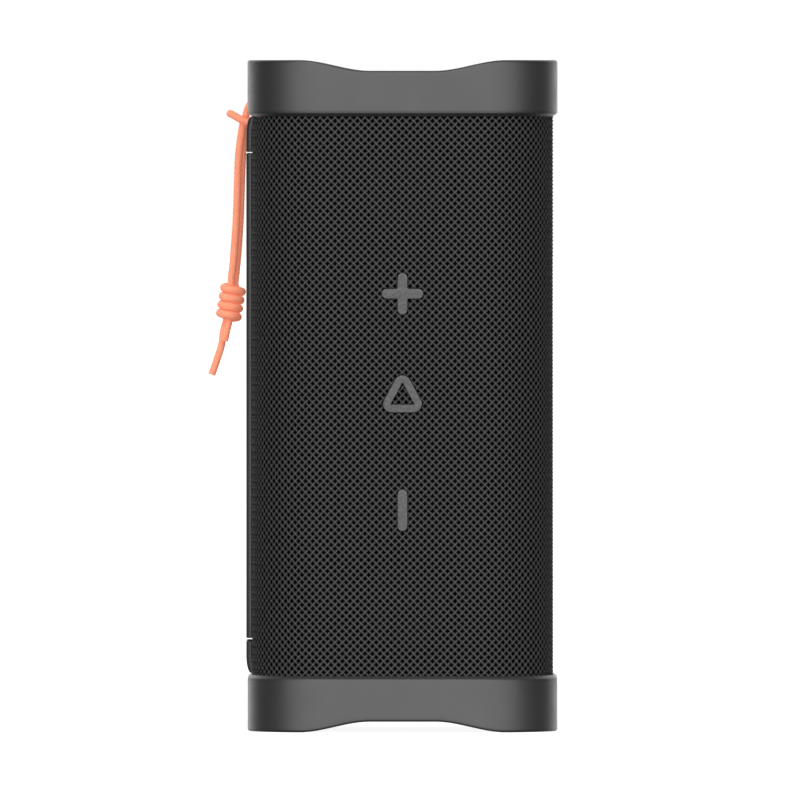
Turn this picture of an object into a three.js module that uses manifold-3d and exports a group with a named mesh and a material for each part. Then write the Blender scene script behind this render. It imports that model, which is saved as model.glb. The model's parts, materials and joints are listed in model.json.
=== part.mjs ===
// A portable shower speaker that stands on end: a fabric-wrapped square tower between two
// notched end caps, with front buttons, a side spine that holds the controls and the charging
// port, two front drivers, a passive radiator at each end and a corded lanyard.
// Millimetres, +Z up, origin on the floor at the middle of the base. The front faces -Y and the
// spine faces -X.
import * as THREE from 'three';
import { mergeVertices } from 'three/addons/utils/BufferGeometryUtils.js';
import Module from 'manifold-3d';

const wasm = await Module();
wasm.setup();

// ---------------------------------------------------------------- driving dimensions
const HEIGHT = 190;
const GAP = 0.3; // between neighbouring pieces
const OVERRUN = 5; // of a cutting tool past the piece that it cuts
const FAR = 60; // past the outside of the object

const CAP = { half: 43.9, corner: 22, height: 15.95, lipRise: 0.95, lipInset: 1.35 };
const NOTCH = { depth: 3.05, flat: 9.3, reach: 29.4, steps: 7 };
const RECESS = { half: 39.4, corner: 17.5, depth: 11.5, bezel: 1.9 };
const FABRIC = { half: 42.5, corner: 20.7, thick: 0.8, low: CAP.height + GAP };
const FRAME = { half: 41.4, corner: 19.6, thick: 1.2, windowHalf: 17 };
const SHELL = { half: 39.9, corner: 18.2, low: 16, plate: 3, wall: 6, thinWall: 3, rearWall: 4.4 };
const CAVITY_CORNER = 12;
const COVER = { half: 24.7, low: 29.3, high: 160.7, inner: 38.5, outer: 39.5, seat: 37.5 };

const SPINE = { outer: 44.15, inner: 40.2, half: 16, skin: 2.25, bevel: 0.5, rim: 1.5 };
const SPINE_CUTS = { door: [16.3, 25.75], panel: [26.2, 163.6], top: [164.05, HEIGHT - 16.4] };
const ROLL = { rise: 4.9, inset: 1.35, steps: 6 };
const DOOR = { inner: 41.7, plugInner: 40.3, plugHalf: 10.5, plugLow: 18.4, plugHigh: 24.2 };
const BEZEL = { front: 41.4, back: 34.4, half: 13, low: 16.6, high: 25.9 };
const WELL = { floor: 35.4, half: 11, low: 17.7, high: 24.9 };
const USB = { front: 35.1, back: 27, half: 4.47, halfTall: 1.6, z: 21.3, wall: 0.4 };

const GLYPH = { span: 11.75, stroke: 2.8, proud: 0.35, clear: 0.25 };
const UP_Z = 124;
const ACTION_Z = 95.7;
const DOWN_Z = 62.8;
const TRIANGLE = { halfBase: 3.1, low: -2.85, high: 2.85, outerRound: 2.4, innerRound: 0.2 };
const KEYS = { flange: 6.4, wideFlange: 7.6, flangeFront: 39.9, flangeBack: 39.1 };
const KEY_MAT = { half: 8.8, front: 38.5, back: 38.2, margin: 0.8, corner: 3 };
const KEY_BOARD = { half: 8, thick: 1, margin: 1.4, corner: 1.5 };
const KEY_POCKET = { half: 9.5, low: 56, high: 134, floor: 35.6 };
const KEY_SWITCH = { front: 37.6, can: 0.4, plungerHigh: 0.3 };

const SIDE = { powerZ: 86, pairZ: 72, lightLow: 50, lightHigh: 62, keyRadius: 4.5, flange: 5.6 };
const SIDE_POCKET = { half: 11, low: 46, high: 94, floor: 36.9 };
const SIDE_BOARD = { outer: 38.6, inner: 37.4, half: 10, margin: 1 };
const SWITCH = { half: 2.6, plunger: 1.4 };
const SIDE_SWITCH = { can: 0.7, plungerHigh: 0.6 };

const DRIVER = { low: 36, flange: 19, front: 39.7, flangeThick: 1, bore: 17.3, segments: 18 };
const RADIATOR = {
  opening: 29.5, hole: 27.5, frameInner: 27.8, frameOuter: 31.6, plate: 20, segments: 28,
};
const CELL = { radius: 9.2, length: 65, x: 10, y: 14, low: 60 };

const SCREW = { place: 28.5, head: 2.4, headTop: 11.3, headBase: 12.7, shaft: 1.2, tip: 18.4 };

const PIN = { x: -41.65, z: 175.9, radius: 1, fit: 0.2, half: 7.6 };
const POCKET = {
  half: 6.2, low: 169.2, top: 180.6, corner: 2, back: 37.3, seat: 38.2,
  boss: 8.4, bossBack: 35.4, bossTop: 183,
};
const CORD = { diameter: 2.1, sides: 8, steps: 42, tailSteps: 6 };
const KNOT = { radius: 3.55, turns: 4, tilt: 0.163, low: [-49.36, 116.7], length: 9.73 };

// ---------------------------------------------------------------- materials
const finish = (color, roughness, metalness = 0) =>
  new THREE.MeshStandardMaterial({ color, roughness, metalness });

const satinGrey = finish(0x4c4c4d, 0.42);
const spineBlack = finish(0x2a2a2b, 0.5);
const weave = finish(0x303030, 0.85);
const keyGrey = finish(0x6b6b6b, 0.75);
const innerBlack = finish(0x18181a, 0.6);
const rubberBlack = finish(0x1d1d1e, 0.8);
const cordOrange = finish(0xf2875f, 0.8);
const steel = finish(0x9a9da0, 0.35, 1);
const darkSteel = finish(0x55575a, 0.45, 1);
const boardGreen = finish(0x1f4a30, 0.6);
const paperCone = finish(0x28282a, 0.8);
const cellBlue = finish(0x2f5f93, 0.5);
const clearSmoke = finish(0xcfd2d2, 0.25);

// ---------------------------------------------------------------- solid helpers
function toSolid(geometry) {
  const bare = geometry.clone();
  bare.deleteAttribute('normal');
  bare.deleteAttribute('uv');
  const merged = mergeVertices(bare, 1e-4);
  return new wasm.Manifold(new wasm.Mesh({
    numProp: 3,
    vertProperties: new Float32Array(merged.attributes.position.array),
    triVerts: new Uint32Array(merged.index.array),
  }));
}

function toGeometry(solid) {
  const { vertProperties, triVerts } = solid.getMesh();
  const geometry = new THREE.BufferGeometry();
  geometry.setAttribute('position', new THREE.BufferAttribute(vertProperties, 3));
  geometry.setIndex(new THREE.BufferAttribute(triVerts, 1));
  geometry.computeVertexNormals();
  return geometry;
}

const join = (first, ...others) => toGeometry(
  others.reduce((sum, other) => sum.add(toSolid(other)), toSolid(first)));

const cut = (base, ...tools) => toGeometry(
  tools.reduce((rest, tool) => rest.subtract(toSolid(tool)), toSolid(base)));

const object = new THREE.Group();

function part(name, geometry, material, parent = object) {
  const mesh = new THREE.Mesh(geometry, material);
  mesh.name = name;
  parent.add(mesh);
  return mesh;
}

// ---------------------------------------------------------------- shape helpers
// A rectangle with rounded corners, from (x0, y0) to (x1, y1).
function roundedRect(x0, x1, y0, y1, radius) {
  const shape = new THREE.Shape();
  shape.absarc(x1 - radius, y1 - radius, radius, 0, Math.PI / 2);
  shape.absarc(x0 + radius, y1 - radius, radius, Math.PI / 2, Math.PI);
  shape.absarc(x0 + radius, y0 + radius, radius, Math.PI, Math.PI * 1.5);
  shape.absarc(x1 - radius, y0 + radius, radius, Math.PI * 1.5, Math.PI * 2);
  return shape;
}

const roundedSquare = (half, radius) => roundedRect(-half, half, -half, half, radius);

const polygon = (points) => new THREE.Shape(points.map(([x, y]) => new THREE.Vector2(x, y)));

const AXES = {
  x: [[0, 1, 0], [0, 0, 1], [1, 0, 0]], // the outline is (y, z)
  y: [[1, 0, 0], [0, 0, 1], [0, -1, 0]], // the outline is (x, z)
  z: [[1, 0, 0], [0, 1, 0], [0, 0, 1]], // the outline is (x, y)
};

// A prism of an outline along one axis, from low to high, with an optional rounded edge that
// stays inside the outline.
function prism(axis, shape, low, high, { bevel = 0, bevelSteps = 1, curveSegments = 8 } = {}) {
  const geometry = new THREE.ExtrudeGeometry(shape, {
    depth: high - low - 2 * bevel,
    bevelEnabled: bevel > 0,
    bevelThickness: bevel,
    bevelSize: bevel,
    bevelOffset: -bevel,
    bevelSegments: bevelSteps,
    curveSegments,
  });
  const base = AXES[axis].map((v) => new THREE.Vector3(...v));
  geometry.translate(0, 0, bevel);
  geometry.applyMatrix4(new THREE.Matrix4().makeBasis(...base));
  const start = axis === 'y' ? high : low;
  const shift = new THREE.Vector3();
  shift[axis] = start;
  return geometry.translate(shift.x, shift.y, shift.z);
}

const box = (x0, x1, y0, y1, z0, z1) => new THREE.BoxGeometry(x1 - x0, y1 - y0, z1 - z0)
  .translate((x0 + x1) / 2, (y0 + y1) / 2, (z0 + z1) / 2);

// A round rod along one axis, centred on [x, y, z] in the other two.
function rod(axis, radius, low, high, [x, y, z], segments = 20) {
  const geometry = new THREE.CylinderGeometry(radius, radius, high - low, segments);
  if (axis === 'x') geometry.rotateZ(Math.PI / 2);
  if (axis === 'z') geometry.rotateX(Math.PI / 2);
  const centre = new THREE.Vector3(x, y, z);
  centre[axis] = (low + high) / 2;
  return geometry.translate(centre.x, centre.y, centre.z);
}

// A turned piece around Y, from [radius, y] points that end on the axis or close on themselves.
function turned(points, segments) {
  const profile = points.map(([r, y]) => new THREE.Vector2(r, y));
  if (THREE.ShapeUtils.area(profile) < 0) profile.reverse();
  const onAxis = profile.some((p) => p.x === 0);
  if (onAxis) {
    // Start on the axis where the profile arrives at it last, so that the outline runs outside.
    while (!(profile[0].x === 0 && profile.at(-1).x === 0)) profile.push(profile.shift());
  } else {
    profile.push(profile[0].clone());
  }
  return new THREE.LatheGeometry(profile, segments);
}

const turnedUp = (points, segments) => turned(points, segments).rotateX(Math.PI / 2);

// ---------------------------------------------------------------- the two ends
// Pieces of an end are made as the bottom one and turned over for the top.
const topEnd = new THREE.Group();
topEnd.position.z = HEIGHT;
topEnd.rotation.x = Math.PI;
const bottomEnd = new THREE.Group();
object.add(topEnd, bottomEnd);

const smooth = (t) => t * t * (3 - 2 * t);

// Everything below the rim: flat at the floor, rising in an S-curve to the notch.
function belowRim() {
  const points = [];
  for (let i = 0; i <= NOTCH.steps; i += 1) {
    const t = i / NOTCH.steps;
    points.push([NOTCH.reach + (NOTCH.flat - NOTCH.reach) * t, NOTCH.depth * smooth(t)]);
  }
  const mirrored = points.map(([x, z]) => [-x, z]).reverse();
  const far = CAP.half + 6;
  const outline = [[-far, -10], [far, -10], [far, 0], ...points, ...mirrored, [-far, 0]];
  return prism('y', polygon(outline), -far, far);
}

const screwPlaces = [[1, 1], [-1, 1], [-1, -1], [1, -1]]
  .map(([sx, sy]) => [sx * SCREW.place, sy * SCREW.place]);

function capBody() {
  const overrun = 2;
  const outer = new THREE.ExtrudeGeometry(
    roundedSquare(CAP.half - CAP.lipInset, CAP.corner - CAP.lipInset),
    {
      depth: CAP.height - CAP.lipRise + overrun,
      bevelThickness: CAP.lipRise,
      bevelSize: CAP.lipInset,
      bevelSegments: 1,
      curveSegments: 8,
    },
  ).translate(0, 0, -overrun);
  const shelf = CAP.height - 0.25; // the inside stops short of the enclosure
  const bezelBack = RECESS.depth + RECESS.bezel;
  const past = CAP.height + OVERRUN;
  return cut(
    outer,
    belowRim(),
    prism('z', roundedSquare(RECESS.half, RECESS.corner), -OVERRUN, RECESS.depth,
      { curveSegments: 6 }),
    rod('z', RADIATOR.opening, -OVERRUN, past, [0, 0, 0], RADIATOR.segments),
    rod('z', RADIATOR.frameOuter + GAP, bezelBack, past, [0, 0, 0], RADIATOR.segments),
    prism('z', roundedSquare(SHELL.half + 0.6, SHELL.corner + 0.6), shelf, past,
      { curveSegments: 5 }),
    ...screwPlaces.map(([x, y]) => rod('z', SCREW.shaft + GAP, 0, past, [x, y, 0], 8)),
    ...screwPlaces.map(([x, y]) => rod('z', SCREW.head + 0.4, 0, SCREW.headBase + GAP,
      [x, y, 0], 10)),
  );
}

// The lanyard pocket opens through the side wall and the lower edge of the top cap, with a boss
// behind it in the recess. It runs on down through the top of the spine.
function topCapBody() {
  const bossBase = RECESS.depth + 1;
  const boss = prism('z', roundedRect(-RECESS.half - 1, -POCKET.bossBack, -POCKET.boss,
    POCKET.boss, 1.5), HEIGHT - POCKET.bossTop, bossBase, { curveSegments: 3 });
  const hollow = prism('x', roundedRect(-POCKET.half, POCKET.half, HEIGHT - POCKET.top,
    HEIGHT - POCKET.low, POCKET.corner), -FAR, -POCKET.back, { curveSegments: 4 });
  const pinHole = rod('y', PIN.radius + PIN.fit, -PIN.half - GAP, PIN.half + GAP,
    [PIN.x, 0, HEIGHT - PIN.z], 12);
  return cut(join(capBody(), boss), hollow, pinHole);
}

function screw() {
  const { head, headTop, headBase, shaft, tip } = SCREW;
  const dome = 0.4;
  const driveWidth = 0.7;
  const driveLength = 3;
  const driveDepth = 0.8;
  const body = turnedUp([
    [0, headTop], [head * 0.7, headTop], [head, headTop + dome], [head, headBase],
    [shaft, headBase], [shaft, tip - 0.8], [0, tip],
  ], 10);
  const slot = (w, l) => box(-w / 2, w / 2, -l / 2, l / 2, headTop - 1, headTop + driveDepth);
  return cut(body, slot(driveWidth, driveLength), slot(driveLength, driveWidth));
}

function radiatorFrame() {
  const { frameInner, frameOuter } = RADIATOR;
  return turnedUp([
    [frameInner, 14.1], [frameInner + 0.8, 13.7], [frameOuter, 13.7], [frameOuter, 15.7],
    [frameInner, 15.7],
  ], RADIATOR.segments);
}

// A half-roll of rubber between the plate and the frame, bulging outwards.
function radiatorSurround() {
  const inner = RADIATOR.plate + GAP;
  const outer = RADIATOR.hole;
  const middle = (inner + outer) / 2;
  const reach = (outer - inner) / 2;
  const rise = 2.6;
  const thick = 0.8;
  const foot = 14.9;
  const steps = 5;
  const arc = (r, h) => Array.from({ length: steps + 1 }, (_, i) => {
    const a = (Math.PI * i) / steps;
    return [middle - r * Math.cos(a), foot - h * Math.sin(a)];
  });
  const under = arc(reach - thick, rise - thick).reverse();
  return turnedUp([...arc(reach, rise), ...under], RADIATOR.segments);
}

function radiatorPlate() {
  const { plate } = RADIATOR;
  return turnedUp([
    [0, 13.2], [7, 13.2], [8, 12.6], [16.5, 12.6], [plate - 0.8, 13.4], [plate, 14.2],
    [plate, 15.2], [9, 15.2], [8, 16.4], [0, 16.4],
  ], RADIATOR.segments);
}

const ends = [['top', topEnd, topCapBody], ['bottom', bottomEnd, capBody]];
for (const [side, group, body] of ends) {
  part(`${side}_end_cap`, body(), satinGrey, group);
  part(`${side}_radiator_frame`, radiatorFrame(), innerBlack, group);
  part(`${side}_radiator_surround`, radiatorSurround(), rubberBlack, group);
  part(`${side}_radiator_plate`, radiatorPlate(), darkSteel, group);
  screwPlaces.forEach(([x, y], i) => {
    part(`${side}_cap_screw_${i + 1}`, screw(), steel, group).position.set(x, y, 0);
  });
}

// ---------------------------------------------------------------- enclosure
const DRIVER_HEIGHTS = { lower: DRIVER.low, upper: HEIGHT - DRIVER.low };
const driverHeights = Object.values(DRIVER_HEIGHTS);

// The lower end of the lanyard pocket, from outside in to a depth behind the spine.
const pocketBelowCap = (depth) => prism('x', roundedRect(-POCKET.half, POCKET.half, POCKET.low,
  POCKET.top, POCKET.corner), -FAR, -depth, { curveSegments: 4 });

function enclosureBody() {
  const { half, corner, low, plate, wall, thinWall, rearWall } = SHELL;
  const high = HEIGHT - low;
  const cavity = roundedRect(-half + wall, half - thinWall, -half + wall, half - rearWall,
    CAVITY_CORNER);
  const seat = roundedRect(-COVER.half - GAP, COVER.half + GAP, COVER.low - GAP,
    COVER.high + GAP, 4);
  const window = roundedRect(-COVER.half + 3, COVER.half - 3, COVER.low + 3, COVER.high - 3, 3);
  const flangeFloor = DRIVER.front - DRIVER.flangeThick - GAP;
  return cut(
    prism('z', roundedSquare(half, corner), low, high, { curveSegments: 6 }),
    prism('z', cavity, low + plate, high - plate, { curveSegments: 5 }),
    rod('z', RADIATOR.hole, low - OVERRUN, high + OVERRUN, [0, 0, 0], RADIATOR.segments),
    prism('y', seat, COVER.seat, FAR, { curveSegments: 3 }),
    prism('y', window, 30, FAR, { curveSegments: 3 }),
    ...driverHeights.map((z) => rod('y', DRIVER.bore, -FAR, -20, [0, 0, z], DRIVER.segments)),
    ...driverHeights.map((z) => rod('y', DRIVER.flange + 0.4, -FAR, -flangeFloor, [0, 0, z],
      DRIVER.segments)),
    box(-KEY_POCKET.half, KEY_POCKET.half, -FAR, -KEY_POCKET.floor, KEY_POCKET.low,
      KEY_POCKET.high),
    box(-FAR, -SIDE_POCKET.floor, -SIDE_POCKET.half, SIDE_POCKET.half, SIDE_POCKET.low,
      SIDE_POCKET.high),
    box(-FAR, -BEZEL.back + GAP, -BEZEL.half - GAP, BEZEL.half + GAP, low - OVERRUN,
      BEZEL.high + GAP),
    box(-FAR, -USB.back, -USB.half - GAP, USB.half + GAP, USB.z - USB.halfTall - GAP,
      USB.z + USB.halfTall + GAP),
    ...screwPlaces.map(([x, y]) => rod('z', SCREW.shaft + GAP, low - OVERRUN,
      high + OVERRUN, [x, y, 0], 8)),
    pocketBelowCap(POCKET.seat),
  );
}

part('enclosure_body', enclosureBody(), innerBlack);

const coverOutline = roundedRect(-COVER.half, COVER.half, COVER.low, COVER.high, 3.7);
const stiffener = (z) => box(-18, 18, COVER.inner - 3, COVER.inner + 0.5, z - 0.8, z + 0.8);
part('enclosure_rear_cover', join(
  prism('y', coverOutline, COVER.inner, COVER.outer, { curveSegments: 3 }),
  ...[65, 95, 125].map(stiffener),
), innerBlack);

const gasketOuter = roundedRect(-COVER.half, COVER.half, COVER.low, COVER.high, 3.7);
gasketOuter.holes.push(roundedRect(-COVER.half + 2.4, COVER.half - 2.4, COVER.low + 2.4,
  COVER.high - 2.4, 1.5));
part('rear_cover_gasket', prism('y', gasketOuter, COVER.seat + 0.2, COVER.inner - 0.2,
  { curveSegments: 3 }), rubberBlack);

// ---------------------------------------------------------------- glyph buttons and grille
// Outlines are drawn about the origin, as (x, z).
function pill(width, height) {
  return roundedRect(-width / 2, width / 2, -height / 2, height / 2, width / 2 - 0.001);
}

function barPrism(z, grow, low, high) {
  const shape = pill(GLYPH.stroke + 2 * grow, GLYPH.span + 2 * grow);
  return prism('y', shape, low, high, { curveSegments: 4 }).translate(0, 0, z);
}

function plusPrism(z, grow, low, high) {
  const upright = barPrism(0, grow, low, high);
  const across = upright.clone().rotateY(Math.PI / 2);
  return join(upright, across).translate(0, 0, z);
}

function roundedTriangle(radius) {
  const { halfBase, low, high } = TRIANGLE;
  const slope = Math.atan2(high - low, halfBase);
  const lean = Math.PI / 2 - slope; // the direction that a side faces, above +x
  const shape = new THREE.Shape();
  shape.absarc(halfBase, low, radius, -Math.PI / 2, lean);
  shape.absarc(0, high, radius, lean, Math.PI - lean);
  shape.absarc(-halfBase, low, radius, Math.PI - lean, Math.PI * 1.5);
  return shape;
}

function trianglePrism(z, radius, low, high) {
  return prism('y', roundedTriangle(radius), low, high, { curveSegments: 5 })
    .translate(0, 0, z);
}

const FACE = -FABRIC.half - GLYPH.proud;
const flange = (z, radius = KEYS.flange) => rod('y', radius, -KEYS.flangeFront - 0.05,
  -KEYS.flangeBack, [0, 0, z], 20);

function wrap(layer, windowHalf, low, high) {
  const inner = roundedSquare(layer.half - layer.thick, layer.corner - layer.thick);
  const tube = cut(
    prism('z', roundedSquare(layer.half, layer.corner), low, high, { curveSegments: 6 }),
    prism('z', inner, low - OVERRUN, high + OVERRUN, { curveSegments: 6 }),
  );
  return cut(tube, box(-FAR, -30, -windowHalf, windowHalf, low - OVERRUN, high + OVERRUN));
}

const grilleLow = FABRIC.low + 0.05;
part('grille_frame', cut(
  wrap(FRAME, FRAME.windowHalf, grilleLow, HEIGHT - grilleLow),
  ...driverHeights.map((z) => rod('y', DRIVER.bore - 0.3, -FAR, -20, [0, 0, z],
    DRIVER.segments)),
  plusPrism(UP_Z, 0.5, -FAR, -20),
  trianglePrism(ACTION_Z, TRIANGLE.outerRound + 0.5, -FAR, -20),
  barPrism(DOWN_Z, 0.5, -FAR, -20),
), innerBlack);

part('grille_fabric', cut(
  wrap(FABRIC, SPINE.half + GAP, FABRIC.low, HEIGHT - FABRIC.low),
  plusPrism(UP_Z, GLYPH.clear, -FAR, -20),
  trianglePrism(ACTION_Z, TRIANGLE.outerRound + GLYPH.clear, -FAR, -20),
  barPrism(DOWN_Z, GLYPH.clear, -FAR, -20),
), weave);

part('volume_up_button', join(
  plusPrism(UP_Z, 0, FACE, -KEYS.flangeFront + 0.1), flange(UP_Z)), keyGrey);
part('volume_down_button', join(
  barPrism(DOWN_Z, 0, FACE, -KEYS.flangeFront + 0.1), flange(DOWN_Z)), keyGrey);

const insertBack = -FABRIC.half + 0.6;
part('action_button', cut(
  join(trianglePrism(ACTION_Z, TRIANGLE.outerRound, FACE, -KEYS.flangeFront + 0.1),
    flange(ACTION_Z, KEYS.wideFlange)),
  trianglePrism(ACTION_Z, TRIANGLE.innerRound, -FAR, insertBack + GAP),
), keyGrey);
part('action_button_insert', toGeometry(toSolid(
  trianglePrism(ACTION_Z, TRIANGLE.innerRound, -FABRIC.half + 0.1, insertBack)
    .translate(0, 0, -ACTION_Z).scale(0.88, 1, 0.88).translate(0, 0, ACTION_Z - 0.12))), weave);

const keySwitches = [['volume_up_switch', UP_Z], ['action_switch', ACTION_Z],
  ['volume_down_switch', DOWN_Z]];
const keyPlate = ({ half, margin, corner }, front, back) => prism('y', roundedRect(-half, half,
  KEY_POCKET.low + margin, KEY_POCKET.high - margin, corner), front, back, { curveSegments: 3 });
const boardBack = -KEY_POCKET.floor - GAP;
part('button_keypad', keyPlate(KEY_MAT, -KEY_MAT.front, -KEY_MAT.back), rubberBlack);
part('button_board', keyPlate(KEY_BOARD, boardBack - KEY_BOARD.thick, boardBack), boardGreen);

// A dome switch about the origin, whose plunger points to -Y.
function tactSwitch({ can, plungerHigh }) {
  const { half, plunger } = SWITCH;
  return join(box(-half, half, 0, can, -half, half),
    rod('y', plunger, -plungerHigh, can / 2, [0, 0, 0], 12));
}

for (const [name, z] of keySwitches) {
  part(name, tactSwitch(KEY_SWITCH), steel).position.set(0, -KEY_SWITCH.front, z);
}

// ---------------------------------------------------------------- spine
// The outer corner of a segment that rolls in towards a cap, as (x, z) points from the full
// thickness to the end. flip is 1 at the bottom and -1 at the top.
function rollOff(end, flip) {
  return Array.from({ length: ROLL.steps + 1 }, (_, i) => {
    const a = ((Math.PI / 2) * i) / ROLL.steps;
    const x = -SPINE.outer + ROLL.inset * (1 - Math.cos(a));
    return [x, end + flip * ROLL.rise * (1 - Math.sin(a))];
  });
}

function spineSegment(outline) {
  return prism('y', polygon(outline), -SPINE.half, SPINE.half,
    { bevel: SPINE.bevel, bevelSteps: 2 });
}

function spinePanel() {
  const [low, high] = SPINE_CUTS.panel;
  const { outer, inner, skin, rim, half } = SPINE;
  const slab = spineSegment([[-outer, low], [-inner, low], [-inner, high], [-outer, high]]);
  const slotHigh = SIDE.lightHigh - SIDE.lightLow;
  const lightSlot = prism('x', pill(3, slotHigh + 0.6), -FAR, -30, { curveSegments: 5 })
    .translate(0, 0, (SIDE.lightLow + SIDE.lightHigh) / 2);
  return cut(
    slab,
    box(-outer + skin, -30, -half + rim, half - rim, low + rim, high - rim),
    ...[SIDE.powerZ, SIDE.pairZ].map((z) => rod('x', SIDE.keyRadius + GAP, -FAR, -30,
      [0, 0, z], 24)),
    lightSlot,
  );
}

part('spine_panel', spinePanel(), spineBlack);

const [topLow, topHigh] = SPINE_CUTS.top;
part('spine_top_plate', cut(
  spineSegment([
    [-SPINE.inner, topHigh], [-SPINE.inner, topLow], [-SPINE.outer, topLow],
    ...rollOff(topHigh, -1),
  ]),
  pocketBelowCap(POCKET.seat),
), spineBlack);

const [doorLow, doorHigh] = SPINE_CUTS.door;
part('port_door', join(
  spineSegment([
    [-DOOR.inner, doorLow], [-DOOR.inner, doorHigh], [-SPINE.outer, doorHigh],
    ...rollOff(doorLow, 1),
  ]),
  prism('x', roundedRect(-DOOR.plugHalf, DOOR.plugHalf, DOOR.plugLow, DOOR.plugHigh, 2),
    -DOOR.inner - 0.2, -DOOR.plugInner, { curveSegments: 3 }),
), rubberBlack);

part('port_bezel', cut(
  box(-BEZEL.front, -BEZEL.back, -BEZEL.half, BEZEL.half, BEZEL.low, BEZEL.high),
  prism('x', roundedRect(-WELL.half, WELL.half, WELL.low, WELL.high, 2), -FAR, -WELL.floor,
    { curveSegments: 3 }),
  box(-FAR, -30, -USB.half - GAP, USB.half + GAP, USB.z - USB.halfTall - GAP,
    USB.z + USB.halfTall + GAP),
), innerBlack);

// The connector's mouth faces -X, with the contact tongue standing in it.
function usbPort() {
  const { front, back, half, halfTall, z, wall } = USB;
  const shell = (grow, x0, x1) => prism('x', roundedRect(-half + grow, half - grow,
    -halfTall + grow, halfTall - grow, halfTall - grow - 0.01), x0, x1, { curveSegments: 4 })
    .translate(0, 0, z);
  const tongue = box(-front + 0.7, -back - 0.8, -3.35, 3.35, z - 0.35, z + 0.35);
  return join(cut(shell(0, -front, -back), shell(wall, -front - 1, -back - 1)), tongue);
}

part('usb_c_port', usbPort(), steel);

const sideKey = (z) => join(
  rod('x', SIDE.keyRadius, -SPINE.outer + 0.05, -41.2, [0, 0, z], 24),
  rod('x', SIDE.flange, -41.6, -40.9, [0, 0, z], 24),
);
part('power_button', sideKey(SIDE.powerZ), keyGrey);
part('pairing_button', sideKey(SIDE.pairZ), keyGrey);

const lightTall = SIDE.lightHigh - SIDE.lightLow;
part('battery_light_bar', join(
  prism('x', pill(2.4, lightTall), -SPINE.outer + 0.1, -41.3, { curveSegments: 5 }),
  prism('x', pill(4, lightTall + 2), -41.6, -41, { curveSegments: 5 }),
).translate(0, 0, (SIDE.lightLow + SIDE.lightHigh) / 2), clearSmoke);

const { outer: boardOuter, inner: boardInner, half: boardHalf, margin } = SIDE_BOARD;
part('side_board', box(-boardOuter, -boardInner, -boardHalf, boardHalf,
  SIDE_POCKET.low + margin, SIDE_POCKET.high - margin), boardGreen);
for (const [name, z] of [['power_switch', SIDE.powerZ], ['pairing_switch', SIDE.pairZ]]) {
  const button = part(name, tactSwitch(SIDE_SWITCH), steel);
  button.rotation.z = -Math.PI / 2;
  button.position.set(-boardOuter - GAP - SIDE_SWITCH.can, 0, z);
}

// ---------------------------------------------------------------- drivers
const BASKET = [
  [15.4, -39.7], [19, -39.7], [19, -38.7], [16.6, -38.7], [14.5, -28], [11, -25], [6, -25],
  [6, -26], [10.5, -26], [13.4, -28.6], [15.4, -38],
];
const MAGNET = [[0, -24.7], [11.5, -24.7], [11.5, -15], [10.5, -14], [0, -14]];
const ROLL_SURROUND = [
  [12.6, -38.9], [13, -39.6], [13.8, -39.9], [14.6, -39.6], [15.1, -38.9], [15.1, -38.4],
  [12.6, -38.4],
];
const CONE = [
  [0, -37.8], [2.4, -37.4], [4, -36.1], [4.6, -35.2], [12.2, -39.2], [12.3, -38.6],
  [4.6, -34.4], [3.4, -34], [0, -35.6],
];

for (const [side, z] of Object.entries(DRIVER_HEIGHTS)) {
  const { segments } = DRIVER;
  part(`${side}_driver_basket`, turned(BASKET, segments), darkSteel).position.z = z;
  part(`${side}_driver_magnet`, turned(MAGNET, segments), steel).position.z = z;
  part(`${side}_driver_surround`, turned(ROLL_SURROUND, segments), rubberBlack).position.z = z;
  part(`${side}_driver_cone`, turned(CONE, segments), paperCone).position.z = z;
}

// ---------------------------------------------------------------- power and signal
const CELL_EDGE = 0.8;
for (const [side, x] of [['left', -CELL.x], ['right', CELL.x]]) {
  const { radius, length, y, low } = CELL;
  part(`battery_cell_${side}`, turnedUp([
    [0, 0], [radius - CELL_EDGE, 0], [radius, CELL_EDGE], [radius, length - CELL_EDGE],
    [radius - CELL_EDGE, length], [0, length],
  ], 20), cellBlue).position.set(x, y, low);
}

part('battery_cradle', cut(
  box(-21.4, 21.4, 8, 26, CELL.low - 2, CELL.low + CELL.length + 2),
  box(-19.8, 19.8, 0, 23.8, CELL.low - 0.4, CELL.low + CELL.length + 0.4),
), innerBlack);

part('main_board', join(
  box(-23, 23, 29, 30.6, 46, 142),
  box(-6, 6, 27, 29.2, 130, 140),
  box(8, 20, 27.6, 29.2, 47, 57),
  rod('y', 3.2, 24, 29.2, [-14, 0, 52], 12),
  rod('y', 3.2, 24, 29.2, [-5, 0, 52], 12),
), boardGreen);

// ---------------------------------------------------------------- lanyard
part('lanyard_pin', rod('y', PIN.radius, -PIN.half, PIN.half, [PIN.x, 0, PIN.z], 14), steel);

function cordTube(points, steps) {
  const path = new THREE.CatmullRomCurve3(points.map((p) => new THREE.Vector3(...p)));
  const section = polygon(Array.from({ length: CORD.sides }, (_, i) => {
    const a = (Math.PI * 2 * i) / CORD.sides;
    return [Math.cos(a) * (CORD.diameter / 2), Math.sin(a) * (CORD.diameter / 2)];
  }));
  return new THREE.ExtrudeGeometry(section, { steps, extrudePath: path, bevelEnabled: false });
}

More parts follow.
